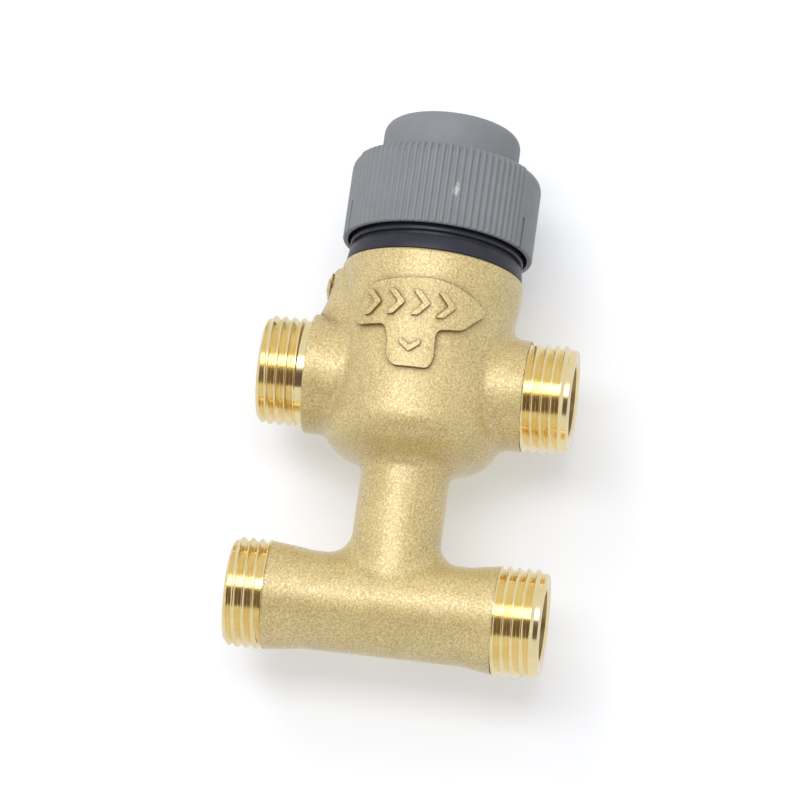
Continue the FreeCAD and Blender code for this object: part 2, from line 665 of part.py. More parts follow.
soften_rings(cap, "crown_foot_fillet", CROWN_FOOT_ROUND, ("crown_diameter / 2", SKIRT_TOP))
for side, turned in (("right", "slit_angle - 90"), ("left", "-slit_angle - 90")):
    slit = cut_box(cap, side + "_slit", SKIRT_OUTER, "slit_width", "slit_height",
                   f"({SKIRT_INNER} - slit_width) * cos({turned})",
                   f"({SKIRT_INNER} - slit_width) * sin({turned})", SKIRT_FOOT)
    slit.setExpression("Placement.Rotation.Angle", named(f"({turned}) * 1deg"))
for side, first in (("front", "-90"), ("back", "90")):
    start = f"({first} - 180 * (flute_row - 1) / flute_count)"
    flute = cap.newObject("PartDesign::SubtractiveCylinder", side + "_flute")
    bind(flute, Radius="flute_diameter / 2", Height="skirt_height", Placement__Base__z=SKIRT_FOOT)
    centre = f"({SKIRT_OUTER} + flute_diameter / 2 - flute_depth)"
    bind(flute, Placement__Base__x=f"{centre} * cos({start})", Placement__Base__y=f"{centre} * sin({start})")
    doc.recompute()
    row = cap.newObject("PartDesign::PolarPattern", side + "_flutes")
    row.Originals = [flute]
    row.Axis = ([item for item in cap.Origin.OriginFeatures if item.Role == "Z_Axis"][0], [""])
    bind(row, Angle="360 * (flute_row - 1) / flute_count", Occurrences="flute_row")
    cap.Tip = row
    doc.recompute()
doc.recompute()

NODES = (
    "valve_body", "seat_cage", "cage_seal", "bonnet", "bonnet_seal", "neck_collar", "gland_nut",
    "upper_stem_seal", "packing_spacer", "lower_stem_seal", "guide_bush", "spring_washer",
    "return_spring", "spring_cup", "retaining_clip", "stem", "plug", "plug_upper_seal",
    "plug_lower_seal", "plug_washer", "plug_nut", "hand_cap",
)
for item in doc.Objects:
    if "Invalid" in item.State or "Error" in item.State:
        raise RuntimeError(f"{item.Label} failed: {item.State}")
os.makedirs("parts", exist_ok=True)
for node in NODES:
    shape = doc.getObject(node).Shape
    if shape.isNull() or not shape.isValid() or len(shape.Solids) != 1:
        raise RuntimeError(f"{node} is not one sound solid")
    shape.exportStep(f"parts/{node}.step")
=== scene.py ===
"""Looks of a small four-port bypass valve, dressed over its CAD frame.

The casting with its threads and flow sign, the cap, the collar and the spring are modelled here. The other
pieces keep their CAD shape and get a finish. Sizes of pieces are in millimetres, those of the studio in
metres.
"""

import json
import logging
import math
from dataclasses import dataclass
from enum import Enum

import bmesh
import bpy
from mathutils import Matrix, Quaternion, Vector, noise


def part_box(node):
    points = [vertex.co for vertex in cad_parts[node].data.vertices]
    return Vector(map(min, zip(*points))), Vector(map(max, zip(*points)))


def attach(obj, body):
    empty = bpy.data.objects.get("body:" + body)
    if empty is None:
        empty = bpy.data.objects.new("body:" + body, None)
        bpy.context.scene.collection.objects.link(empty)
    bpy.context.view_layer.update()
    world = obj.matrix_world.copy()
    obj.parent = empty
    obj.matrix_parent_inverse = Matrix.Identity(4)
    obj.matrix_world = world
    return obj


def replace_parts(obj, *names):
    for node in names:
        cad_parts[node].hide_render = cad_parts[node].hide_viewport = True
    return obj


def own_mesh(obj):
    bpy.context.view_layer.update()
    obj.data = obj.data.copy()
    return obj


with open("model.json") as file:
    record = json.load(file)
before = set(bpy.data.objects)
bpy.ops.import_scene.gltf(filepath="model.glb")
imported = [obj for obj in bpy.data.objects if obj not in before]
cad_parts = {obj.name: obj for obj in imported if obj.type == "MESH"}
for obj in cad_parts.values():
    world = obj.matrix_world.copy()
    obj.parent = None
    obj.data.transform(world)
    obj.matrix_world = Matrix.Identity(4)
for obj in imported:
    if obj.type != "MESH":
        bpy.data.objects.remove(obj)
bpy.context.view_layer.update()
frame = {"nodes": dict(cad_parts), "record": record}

Colour = tuple[float, float, float]
Point = tuple[float, float]
Socket = bpy.types.NodeSocket
Material = bpy.types.Material
Piece = bpy.types.Object
Mesh = bmesh.types.BMesh

LOG = logging.getLogger("bypass_valve")
MM = 0.001
# Points closer than this, in millimetres, are one place.
HAIR = 0.001
# A turned piece is spun as one sector and then copied round, which is quicker.
SECTORS = 12
MOUNTS = {mount["name"]: mount for mount in frame["record"]["mounts"]}
PORT_AXIS = MOUNTS["port_a"]["pos_m"][2] / MM
PORT_BORE = MOUNTS["bypass_run"]["dims"]["r_mm"]
PORT_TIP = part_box("valve_body")[1].x / MM
AXIS_X = Vector((1, 0, 0))
AXIS_Z = Vector((0, 0, 1))


class ShaderTree:
    """Lays out the nodes of one material."""

    def __init__(self, name: str) -> None:
        """Start a material with a plain shader that reads Object coordinates.

        Args:
            name: name of the material.
        """
        self.material = bpy.data.materials.new(name)
        self.material.use_nodes = True
        self.nodes = self.material.node_tree.nodes
        self.links = self.material.node_tree.links
        self.shader = self.nodes["Principled BSDF"]
        self.place = self.nodes.new("ShaderNodeTexCoord").outputs["Object"]

    def set(self, **values: float) -> None:
        """Set sockets of the shader that are the same all over the surface.

        Args:
            values: socket names with underscores for spaces, and their numbers.
        """
        for socket, number in values.items():
            self.shader.inputs[socket.replace("_", " ")].default_value = number

    def feed(self, socket: str, output: Socket) -> None:
        """Drive a socket of the shader."""
        self.links.new(output, self.shader.inputs[socket])

    def stretched(self, scale: Vector, offset: Vector = Vector()) -> Socket:
        """Return Object coordinates, moved and then stretched.

        Args:
            scale: factor along each axis.
            offset: point that becomes the origin, in metres.

        Returns:
            The new coordinates.
        """
        place = self.place
        for operation, amount in (("SUBTRACT", offset), ("MULTIPLY", scale)):
            node = self.nodes.new("ShaderNodeVectorMath")
            node.operation = operation
            node.inputs[1].default_value = amount
            self.links.new(place, node.inputs[0])
            place = node.outputs[0]
        return place

    def length(self, vector: Socket) -> Socket:
        """Return how long a vector is.

        Args:
            vector: the vector.

        Returns:
            Its length.
        """
        node = self.nodes.new("ShaderNodeVectorMath")
        node.operation = "LENGTH"
        self.links.new(vector, node.inputs[0])
        return node.outputs["Value"]

    def combined(self, operation: str, first: Socket, second: Socket) -> Socket:
        """Return two numbers put together.

        Args:
            operation: how, such as ADD or MAXIMUM.
            first: the first number.
            second: the second number.

        Returns:
            The new number.
        """
        node = self.nodes.new("ShaderNodeMath")
        node.operation = operation
        self.links.new(first, node.inputs[0])
        self.links.new(second, node.inputs[1])
        return node.outputs[0]

    def noise(self, scale: float, detail: float, rough: float, place: Socket | None = None) -> Socket:
        """Return a noise pattern.

        Args:
            scale: waves per metre.
            detail: octaves.
            rough: weight of the finer octaves.
            place: coordinates to read, or none for the object's own.

        Returns:
            The pattern, about 0 to 1.
        """
        node = self.nodes.new("ShaderNodeTexNoise")
        for socket, number in (("Scale", scale), ("Detail", detail), ("Roughness", rough)):
            node.inputs[socket].default_value = number
        self.links.new(place or self.place, node.inputs["Vector"])
        return node.outputs["Fac"]

    def ramp(self, factor: Socket, *stops: tuple[float, Colour]) -> Socket:
        """Return colours along a factor.

        Args:
            factor: 0 to 1.
            stops: places and colours, in order.

        Returns:
            The colour.
        """
        node = self.nodes.new("ShaderNodeValToRGB")
        elements = node.color_ramp.elements
        while len(elements) < len(stops):
            elements.new(0.5)
        for element, (place, colour) in zip(elements, stops):
            element.position = place
            element.color = (*colour, 1.0)
        self.links.new(factor, node.inputs["Fac"])
        return node.outputs["Color"]

    def spread(self, factor: Socket, source: Point, target: Point) -> Socket:
        """Return a factor mapped from one range to another.

        Args:
            factor: the number to map.
            source: range that it has.
            target: range that it gets.

        Returns:
            The mapped number.
        """
        node = self.nodes.new("ShaderNodeMapRange")
        for socket, number in zip(("From Min", "From Max", "To Min", "To Max"), (*source, *target)):
            node.inputs[socket].default_value = number
        self.links.new(factor, node.inputs["Value"])
        return node.outputs["Result"]

    def crease(self, reach: float) -> Socket:
        """Return how open the surface is.

        Args:
            reach: how far off a neighbour still counts, in metres.

        Returns:
            0 deep in a crease to 1 in the open.
        """
        node = self.nodes.new("ShaderNodeAmbientOcclusion")
        node.samples = 8
        node.inputs["Distance"].default_value = reach
        return node.outputs["AO"]

    def blend(self, factor: Socket | float, first: Socket, second: Socket | Colour,
              mode: str = "MIX") -> Socket:
        """Return two colours mixed.

        Args:
            factor: share of the second, a socket or a plain number.
            first: the first colour.
            second: the second colour, a socket or plain numbers.
            mode: how they mix.

        Returns:
            The mixed colour.
        """
        node = self.nodes.new("ShaderNodeMix")
        node.data_type = "RGBA"
        node.blend_type = mode
        if isinstance(factor, float):
            node.inputs["Factor"].default_value = factor
        else:
            self.links.new(factor, node.inputs["Factor"])
        self.links.new(first, node.inputs[6])
        if isinstance(second, tuple):
            node.inputs[7].default_value = (*second, 1.0)
        else:
            self.links.new(second, node.inputs[7])
        return node.outputs[2]

    def bump(self, height: Socket, depth: float, strength: float) -> Socket:
        """Return a normal that shows a pattern as relief.

        Args:
            height: the pattern.
            depth: how deep it is, in millimetres.
            strength: share of the effect.

        Returns:
            The normal.
        """
        node = self.nodes.new("ShaderNodeBump")
        node.inputs["Strength"].default_value = strength
        node.inputs["Distance"].default_value = depth * MM
        self.links.new(height, node.inputs["Height"])
        return node.outputs["Normal"]


@dataclass(frozen=True)
class CastBrass:
    """Sand-cast brass: matte gold with a fine sparkling grain, and painted brown shade in its creases."""

    name: str = "sand_cast"
    dark: Colour = (0.48, 0.340, 0.115)
    middle: Colour = (0.66, 0.515, 0.215)
    light: Colour = (0.84, 0.730, 0.405)
    # Tone of the duller random patches of the casting.
    dull_and_painted_shade: Colour = (0.88, 0.86, 0.82)
    # Brown of the painted shade that darkens the creases.
    tarnish_and_painted_shade: Colour = (0.40, 0.30, 0.16)
    clean: Colour = (1.0, 1.0, 1.0)
    grain_scale: float = 2700.0
    patch_scale: float = 120.0
    pits: float = 0.20
    # Reach of the painted crease shade, in millimetres.
    crease: float = 2.2

    def material(self) -> Material:
        """Return the finished material."""
        tree = ShaderTree(self.name)
        grain = tree.noise(self.grain_scale, 3.0, 0.62)
        gold = tree.ramp(grain, (0.32, self.dark), (0.50, self.middle), (0.70, self.light))
        patches = tree.ramp(tree.noise(self.patch_scale, 3.0, 0.5), (0.3, self.dull_and_painted_shade), (0.7, self.clean))
        # Painted shade: where ambient occlusion finds a crease, the gold is multiplied towards brown,
        # standing in for the shade there.
        painted_crease_shade = tree.ramp(tree.crease(self.crease * MM), (0.64, self.tarnish_and_painted_shade), (0.96, self.clean))
        for tint in (patches, painted_crease_shade):
            gold = tree.blend(1.0, gold, tint, "MULTIPLY")
        tree.feed("Base Color", gold)
        tree.feed("Roughness", tree.spread(grain, (0.3, 0.7), (0.58, 0.40)))
        tree.feed("Normal", tree.bump(grain, self.pits, 0.6))
        tree.set(Metallic=0.5, Coat_Weight=1.0, Coat_IOR=1.6, Coat_Roughness=0.38)
        return tree.material


@dataclass(frozen=True)
class TurnedBrass:
    """Bright brass from the lathe, with fine tool lines across its axis. Given dark colours, it paints the
    shade inside the bores.
    """

    name: str
    across: Vector
    colour: Colour = (0.94, 0.79, 0.45)
    # Darker patches of tarnish; in the bores' brass, this and the colour are painted shade.
    tarnish_and_painted_shade: Colour = (0.89, 0.72, 0.37)
    roughness: float = 0.16
    patch_scale: float = 260.0
    line_depth: float = 0.015

    def material(self) -> Material:
        """Return the finished material."""
        tree = ShaderTree(self.name)
        lines = tree.noise(1.0, 2.0, 0.6, tree.stretched(self.across))
        patches = tree.noise(self.patch_scale, 3.0, 0.5)
        rough = (self.roughness + 0.05, self.roughness - 0.04)
        tree.feed("Base Color", tree.ramp(patches, (0.34, self.tarnish_and_painted_shade), (0.62, self.colour)))
        tree.feed("Roughness", tree.spread(patches, (0.3, 0.7), rough))
        tree.feed("Normal", tree.bump(lines, self.line_depth, 0.5))
        tree.set(Metallic=1.0)
        return tree.material


@dataclass(frozen=True)
class Moulded:
    """Moulded plastic or rubber with a fine skin."""

    name: str
    colour: Colour
    worn: Colour
    roughness: float
    skin: float = 0.02
    gloss: float = 0.5
    cloud_scale: float = 300.0
    skin_scale: float = 5200.0

    def tree(self) -> ShaderTree:
        """Return the nodes of the finish, open for more."""
        tree = ShaderTree(self.name)
        cloud = tree.noise(self.cloud_scale, 4.0, 0.6)
        rough = (self.roughness + 0.06, self.roughness - 0.04)
        tree.feed("Base Color", tree.ramp(cloud, (0.38, self.colour), (0.75, self.worn)))
        tree.feed("Roughness", tree.spread(cloud, (0.3, 0.7), rough))
        tree.feed("Normal", tree.bump(tree.noise(self.skin_scale, 2.0, 0.5), self.skin, 0.35))
        tree.set(Specular_IOR_Level=self.gloss)
        return tree

    def material(self) -> Material:
        """Return the finished material."""
        return self.tree().material


@dataclass(frozen=True)
class ScuffedPlastic(Moulded):
    """Moulded plastic with one pale scuff."""

    scuff: Vector = Vector()
    half: Vector = Vector((1.0, 1.0, 1.0))
    chalk: Colour = (0.60, 0.59, 0.55)
    ragged_scale: float = 1500.0

    def tree(self) -> ShaderTree:
        """Return the nodes of the finish with the scuff mixed in."""
        tree = super().tree()
        spot = tree.stretched(Vector(1.0 / (side * MM) for side in self.half), self.scuff * MM)
        ragged = tree.spread(tree.noise(self.ragged_scale, 3.0, 0.6), (0.3, 0.7), (-0.5, 0.5))
        mask = tree.spread(tree.combined("ADD", tree.length(spot), ragged), (0.4, 1.2), (0.7, 0.0))
        clean = tree.shader.inputs["Base Color"].links[0].from_socket
        tree.feed("Base Color", tree.blend(mask, clean, self.chalk))
        return tree


@dataclass(frozen=True)
class DrawnSteel:
    """Satin steel with faint drawing lines along Z."""

    name: str = "satin_steel"
    colour: Colour = (0.62, 0.62, 0.61)
    shade: Colour = (0.46, 0.46, 0.46)
    across: Vector = Vector((4000, 4000, 300))
    line_depth: float = 0.01

    def material(self) -> Material:
        """Return the finished material."""
        tree = ShaderTree(self.name)
        lines = tree.noise(1.0, 3.0, 0.6, tree.stretched(self.across))
        tree.feed("Base Color", tree.ramp(lines, (0.35, self.shade), (0.65, self.colour)))
        tree.feed("Roughness", tree.spread(lines, (0.3, 0.7), (0.38, 0.24)))
        tree.feed("Normal", tree.bump(lines, self.line_depth, 0.4))
        tree.set(Metallic=1.0)
        return tree.material


CAST = CastBrass()
PORT_BRASS = TurnedBrass("port_brass", Vector((9000, 60, 60)))
INNER_BRASS = TurnedBrass("inner_brass", Vector((60, 60, 9000)))
# Painted shade: the bores and waterways get brass painted dark brown, standing in for the shade inside them.
PAINTED_SHADE_BORE_BRASS = TurnedBrass("bore_brass_painted_shade", Vector((3000, 60, 60)), (0.34, 0.23, 0.10), (0.22, 0.14, 0.055), 0.30)
STEEL = DrawnSteel()
RUBBER = Moulded("ring_rubber", (0.020, 0.020, 0.021), (0.034, 0.034, 0.035), 0.62)
NATURAL = Moulded("natural_plastic", (0.80, 0.80, 0.77), (0.86, 0.86, 0.83), 0.48)
NAVY = Moulded("collar_plastic", (0.014, 0.0145, 0.025), (0.022, 0.023, 0.035), 0.38, gloss=0.4)
GREY = ScuffedPlastic(
    "cap_plastic", (0.192, 0.201, 0.213), (0.205, 0.214, 0.226), 0.55, 0.03,
    scuff=Vector((4.2, -18.0, 78.6)), half=Vector((0.55, 3.0, 1.4)),
)


def make_piece(name: str, bm: Mesh, material: Material, body: str, sharp: float) -> Piece:
    """Turn a finished mesh into a smooth-shaded piece that rides on a body.

    Args:
        name: name of the piece.
        bm: the mesh, which is freed.
        material: its finish.
        body: the body it moves with.
        sharp: angle in degrees past which an edge stays sharp.

    Returns:
        The new object.
    """
    mesh = bpy.data.meshes.new(name)
    bm.to_mesh(mesh)
    bm.free()
    mesh.materials.append(material)
    mesh.shade_smooth()
    mesh.set_sharp_from_angle(angle=math.radians(sharp))
    piece = bpy.data.objects.new(name, mesh)
    bpy.context.scene.collection.objects.link(piece)
    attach(piece, body)
    LOG.info("%s: %d faces on %s", name, len(mesh.polygons), body)
    return piece


def absorb(bm: Mesh, part: Mesh) -> None:
    """Add a finished part to a mesh.

    Args:
        bm: mesh that gets it.
        part: the part, which is freed.
    """
    spare = bpy.data.meshes.new("part")
    part.to_mesh(spare)
    part.free()
    bm.from_mesh(spare)
    bpy.data.meshes.remove(spare)


def spun(profile: list[Point], axis: Vector, steps: int, closed: bool = True) -> Mesh:
    """Turn a profile once round an axis through the origin: one sector first, then copies of it.

    Args:
        profile: pairs of place along the axis and radius.
        axis: the axis, X or Z.
        steps: steps of the turn, a multiple of the sectors.
        closed: whether the profile's ends join.

    Returns:
        The turned mesh, with its faces outwards.
    """
    bm = bmesh.new()
    side = Vector((0, -1, 0))
    verts = [bm.verts.new((axis * along + side * radius) * MM) for along, radius in profile]
    ends = zip(verts, verts[1:] + verts[:1]) if closed else zip(verts, verts[1:])
    edges = [bm.edges.new(pair) for pair in ends]
    bmesh.ops.spin(bm, geom=verts + edges, cent=(0, 0, 0), axis=axis, angle=math.tau / SECTORS,
                   steps=steps // SECTORS)
    bmesh.ops.spin(bm, geom=bm.verts[:] + bm.edges[:] + bm.faces[:], cent=(0, 0, 0), axis=axis,
                   angle=math.tau * (SECTORS - 1) / SECTORS, steps=SECTORS - 1, use_duplicate=True)
    bmesh.ops.remove_doubles(bm, verts=bm.verts, dist=HAIR * MM)
    bmesh.ops.recalc_face_normals(bm, faces=bm.faces)
    return bm


class PortEnd(Enum):
    """How a threaded port ends."""

    CHAMFER = "chamfer"
    PILOT = "pilot"


@dataclass
class ThreadedPort:
    """One male half-inch pipe thread with its bore; places along it count from the stem's axis."""

    name: str
    side: int
    axis: float
    end: PortEnd
    crest: float
    band: float = 0.0
    root: float = 21.0
    tip: float = PORT_TIP
    major: float = 10.46
    depth: float = 0.77
    crest_share: float = 0.12
    valley_share: float = 0.03
    pitch: float = 1.814
    bore: float = PORT_BORE
    mouth: float = 0.4
    band_radius: float = 10.0
    chamfer: float = 0.9
    pilot_radius: float = 9.8
    pilot_length: float = 1.2
    pilot_chamfer: float = 0.3
    step: float = 0.06
    steps_round: int = 180

    def thread(self, along: float, turned: float) -> float:
        """Return the thread's radius at one place, as if it had no ends.

        Args:
            along: distance from the stem's axis.
            turned: angle about X from the front, in radians.

        Returns:
            The radius.
        """
        wave = (self.side * along - self.crest) / self.pitch - turned / math.tau
        from_root = 2.0 * abs(wave - math.floor(wave) - 0.5)
        slope = (from_root - self.valley_share) / (1.0 - self.crest_share - self.valley_share)
        return self.major - self.depth * (1.0 - min(1.0, max(0.0, slope)))

    def radius(self, along: float, turned: float) -> float:
        """Return the radius of the outside at one place.

        Args:
            along: distance from the stem's axis.
            turned: angle about X from the front, in radians.

        Returns:
            The radius.
        """
        from_tip = self.tip - along
        if along - self.root < self.band:
            return self.band_radius
        radius = self.thread(along, turned)
        if self.end is PortEnd.CHAMFER:
            return min(radius, self.major - self.chamfer + from_tip)
        if from_tip < self.pilot_length:
            return self.pilot_radius - max(0.0, self.pilot_chamfer - from_tip)
        return min(radius, self.pilot_radius + from_tip - self.pilot_length)

    def sleeve(self) -> Mesh:
        """Return the port as a plain sleeve about X, with fine rings for the thread."""
        count = round((self.tip - self.root) / self.step)
        places = [self.root + (self.tip - self.root) * index / count for index in range(count + 1)]
        profile = [(place, self.major) for place in places]
        profile += [(self.tip, self.bore + self.mouth), (self.tip - self.mouth, self.bore)]
        profile.append((self.root, self.bore))
        return spun([(self.side * place, radius) for place, radius in profile], AXIS_X, self.steps_round)

    def build(self, bright: Material, dull_and_painted_shade: Material) -> Piece:
        """Press the thread into the sleeve.

        Args:
            bright: finish of the thread.
            dull_and_painted_shade: material of the bore, brass painted dark brown as shade.

        Returns:
            The finished piece.
        """
        bm = self.sleeve()
        for vert in bm.verts:
            across = Vector((0, vert.co.y, vert.co.z))
            if across.length > (self.bore + self.major) / 2 * MM:
                turned = math.atan2(vert.co.z, vert.co.y) + math.pi
                radius = self.radius(abs(vert.co.x) / MM, turned) * MM
                vert.co = Vector((vert.co.x, 0, 0)) + across.normalized() * radius
        # Faces of the bore take the second material, painted dark as shade.
        bore = (self.bore + self.mouth / 2) * MM
        for face in bm.faces:
            face.material_index = int(all(vert.co.yz.length < bore for vert in face.verts))
        bmesh.ops.translate(bm, verts=bm.verts, vec=(0, 0, self.axis * MM))
        piece = make_piece(self.name, bm, bright, "valve", 50.0)
        piece.data.materials.append(dull_and_painted_shade)
        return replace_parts(piece, "valve_body")


@dataclass
class Casting:
    """The sand-cast body between its four threaded ends."""

    cut: float = 20.99
    flare: float = 14.0
    flare_reach: float = 1.75
    rim: float = 10.3
    rim_round: float = 0.25
    stub: Vector = Vector((-19.1, -0.8, 61.6))
    stub_half: Vector = Vector((1.0, 1.9, 2.7))
    stub_rough: float = 0.22
    stub_waves: float = 2.3
    waterway: float = PORT_BORE + 0.3
    chamber: float = 13.5
    chamber_foot: float = 30.0
    bypass: float = 6.0

    def on_cut(self, spot: Vector, side: int, axis: float) -> bool:
        """Return whether a point lies on one port's cut.

        Args:
            spot: the point.
            side: -1 for a left port, 1 for a right one.
            axis: height of the port's axis.

        Returns:
            True on that cut.
        """
        return abs(spot.x - side * self.cut) < HAIR and abs(spot.z - axis) < PORT_AXIS / 2

    def close_end(self, bm: Mesh, side: int, axis: float) -> None:
        """Close the end of one port that was cut off, and round its rim.

        Args:
            bm: the casting.
            side: -1 for a left port, 1 for a right one.
            axis: height of the port's axis.
        """
        def end_edges() -> list[bmesh.types.BMEdge]:
            """Return the edges on the cut."""
            return [edge for edge in bm.edges
                    if all(self.on_cut(vert.co / MM, side, axis) for vert in edge.verts)]

        bmesh.ops.bridge_loops(bm, edges=end_edges())
        rim = [edge for edge in end_edges()
               if min(math.hypot(vert.co.y, vert.co.z - axis * MM) for vert in edge.verts) > self.rim * MM]
        bmesh.ops.bevel(bm, geom=rim, offset=self.rim_round * MM, affect="EDGES", segments=3, profile=0.5,
                        material=-1, clamp_overlap=True)

    def draw_out(self, bm: Mesh) -> None:
        """Draw the flare of the lower left port out, where it covers the root of the thread.

        Args:
            bm: the casting.
        """
        for vert in bm.verts:
            share = (-vert.co.x / MM - self.flare) / (self.cut - self.flare)
            if share > 0.0 and vert.co.z < PORT_AXIS / 2 * MM:
                vert.co.x -= self.flare_reach * share * share * MM

    def add_stub(self, bm: Mesh) -> None:
        """Add the rough stump of the gate on the shoulder.

        Args:
            bm: the casting.
        """
        lump = bmesh.new()
        bmesh.ops.create_icosphere(lump, subdivisions=4, radius=1.0)
        for vert in lump.verts:
            swell = 1.0 + self.stub_rough * noise.noise(vert.co * self.stub_waves)
            vert.co = (self.stub + vert.co * self.stub_half * swell) * MM
        absorb(bm, lump)

    def inside(self, spot: Vector) -> bool:
        """Return whether a place on the surface is on the wall of a waterway.

        Args:
            spot: the place.

        Returns:
            True inside a port, the bypass or the chamber.
        """
        port = min(math.hypot(spot.y, spot.z - axis) for axis in (0.0, PORT_AXIS))
        reach = self.chamber if spot.z > self.chamber_foot else self.bypass
        return port < self.waterway or (spot.z > 0.0 and spot.xy.length < reach)

    def build(self, material: Material, dull_and_painted_shade: Material) -> Piece:
        """Cut the ports off a copy of the CAD body, close the ends and add the stub.

        Args:
            material: finish of the casting.
            dull_and_painted_shade: material of the waterways, brass painted dark brown as shade.

        Returns:
            The finished piece.
        """
        bm = bmesh.new()
        bm.from_mesh(frame["nodes"]["valve_body"].data)
        bmesh.ops.remove_doubles(bm, verts=bm.verts, dist=2 * HAIR * MM)
        for side in (-1, 1):
            everything = bm.verts[:] + bm.edges[:] + bm.faces[:]
            bmesh.ops.bisect_plane(bm, geom=everything, dist=HAIR * MM, clear_outer=True,
                                   plane_co=(side * self.cut * MM, 0, 0), plane_no=(side, 0, 0))
            for axis in (0.0, PORT_AXIS):
                self.close_end(bm, side, axis)
        self.draw_out(bm)
        self.add_stub(bm)
        # Walls of the waterways take the second material, painted dark as shade.
        for face in bm.faces:
            face.material_index = int(self.inside(face.calc_center_median() / MM))
        piece = make_piece("casting", bm, material, "valve", 40.0)
        piece.data.materials.append(dull_and_painted_shade)
        piece.modifiers.new("even_shading", "WEIGHTED_NORMAL").keep_sharp = True
        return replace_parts(piece, "valve_body")


@dataclass
class FlowSign:
    """Raised plate on the barrel's front, with plain arrows for the two ways of flow.

    The plate's outline is pairs of an angle from the front, in degrees, and a height above the ports' axis.
    """

    barrel: float = 17.0
    sunk: float = 0.6
    proud: float = 0.80
    plate_corner: float = 0.9
    plate_edge: float = 0.50
    arrow: float = 0.50
    arrow_sunk: float = 0.3
    arrow_corner: float = 0.3
    arrow_edge: float = 0.42
    nose_share: float = 0.5
    tail_share: float = 0.35
    across: tuple[float, ...] = (-8.2, -3.6, 1.0, 5.6)
    across_height: float = 11.0
    across_size: Point = (2.5, 1.35)
    down: Point = (-0.6, 2.2)
    down_size: Point = (1.9, 1.2)
    slice_width: float = 0.5
    slice_snap: float = 1e-5
    plate: tuple[Point, ...] = (
        (-43.4, 8.0), (-40.1, 6.8), (-19.7, 6.7), (-16.5, 3.8), (-15.6, 0.0), (-10.6, -1.5), (11.0, -1.5),
        (13.5, 0.5), (12.7, 5.2), (14.2, 6.35), (29.5, 7.1), (37.8, 9.65), (45.2, 11.4), (37.8, 13.4),
        (22.1, 15.4), (8.3, 16.2), (-11.6, 15.8), (-25.9, 15.3), (-34.6, 14.4), (-39.8, 10.0),
    )

    def raise_shape(self, bm: Mesh, outline: list[Point], low: float, high: float, corner: float,
                    edge: float) -> None:
        """Add a flat shape with rounded corners and a rounded top edge.

        Args:
            bm: mesh that gets it.
            outline: its corners, arc length and height.
            low: height of its foot over the barrel.
            high: height of its top.
            corner: radius of the corners.
            edge: radius of the top edge.
        """
        part = bmesh.new()
        face = part.faces.new([part.verts.new((across, -low, up)) for across, up in outline])
        bmesh.ops.bevel(part, geom=face.verts[:], offset=corner, affect="VERTICES", segments=4, profile=0.5,
                        material=-1)
        lid = bmesh.ops.extrude_face_region(part, geom=part.faces[:])["geom"]
        bmesh.ops.translate(part, vec=(0, low - high, 0),
                            verts=[item for item in lid if isinstance(item, bmesh.types.BMVert)])
        bmesh.ops.recalc_face_normals(part, faces=part.faces)
        top = [line for line in part.edges if all(abs(vert.co.y + high) < HAIR for vert in line.verts)]
        bmesh.ops.bevel(part, geom=top, offset=edge, affect="EDGES", segments=4, profile=0.5, material=-1,
                        clamp_overlap=True)
        absorb(bm, part)

    def wrap(self, bm: Mesh) -> None:
        """Bend the flat shapes round the barrel.

        Args:
            bm: mesh with arc length along X, height along Z and depth along -Y, in millimetres.
        """
        reach = int(max(abs(vert.co.x) for vert in bm.verts) / self.slice_width)
        for index in range(-reach, reach + 1):
            everything = bm.verts[:] + bm.edges[:] + bm.faces[:]
            bmesh.ops.bisect_plane(bm, geom=everything, dist=self.slice_snap, plane_no=AXIS_X,
                                   plane_co=(index * self.slice_width, 0, 0))
        for vert in bm.verts:
            turned = vert.co.x / self.barrel
            radius = self.barrel - vert.co.y
            vert.co = Vector((radius * math.sin(turned), -radius * math.cos(turned), vert.co.z)) * MM
        bmesh.ops.translate(bm, verts=bm.verts, vec=(0, 0, PORT_AXIS * MM))

    def chevron(self, middle: Point, direction: float, size: float, stroke: float) -> list[Point]:
        """Return the outline of a chevron.

        Args:
            middle: its centre.
            direction: angle in degrees that it points to, from the right.
            size: half its span.
            stroke: width of its arms.

        Returns:
            Six corners.
        """
        nose, tail = size * self.nose_share, -size * self.tail_share
        shape = ((nose, 0), (tail, size), (tail - stroke, size), (nose - stroke, 0), (tail - stroke, -size),
                 (tail, -size))
        cosine, sine = math.cos(math.radians(direction)), math.sin(math.radians(direction))
        return [(middle[0] + x * cosine - z * sine, middle[1] + x * sine + z * cosine) for x, z in shape]

    def build(self, material: Material) -> Piece:
        """Model the plate and its arrows on the barrel.

        Args:
            material: finish of the casting.

        Returns:
            The finished piece.
        """
        bm = bmesh.new()
        plate = [(math.radians(angle) * self.barrel, up) for angle, up in self.plate]
        self.raise_shape(bm, plate, -self.sunk, self.proud, self.plate_corner, self.plate_edge)
        marks = [self.chevron((place, self.across_height), 0.0, *self.across_size) for place in self.across]
        marks.append(self.chevron(self.down, -90.0, *self.down_size))
        low, high = self.proud - self.arrow_sunk, self.proud + self.arrow
        for mark in marks:
            self.raise_shape(bm, mark, low, high, self.arrow_corner, self.arrow_edge)
        self.wrap(bm)
        return make_piece("flow_sign", bm, material, "valve", 60.0)


